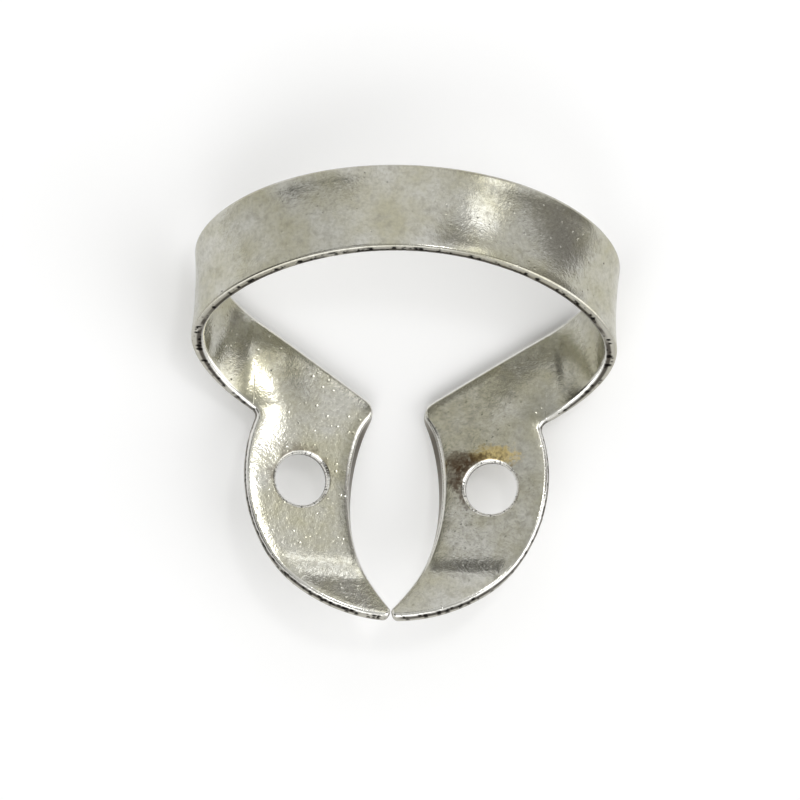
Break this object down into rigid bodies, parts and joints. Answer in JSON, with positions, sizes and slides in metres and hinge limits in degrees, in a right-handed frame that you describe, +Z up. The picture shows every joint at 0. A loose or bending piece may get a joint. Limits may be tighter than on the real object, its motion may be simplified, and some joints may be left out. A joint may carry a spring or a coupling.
{
  "type": "rubber dam clamp",
  "caption": "Dental rubber dam clamp: a leaning spring bow of flat stainless strap that bends under into crescent jaw plates with pointed tips and round forceps holes.",
  "frame": {"origin": "centre of the bounding box at its base, where the clamp rests on the table", "axes": "+Z up, +X to the clamp's right, jaw tips towards -Y and the bow leaning back towards +Y; the plane X = 0 is the plane of symmetry"},
  "size_m": [0.026, 0.0284, 0.0109],
  "materials": {
    "satin_stainless": "tumbled satin stainless spring steel with bright worn edges"
  },
  "bodies": {
    "root": {"clamp": "satin_stainless"}
  },
  "joints": []
}
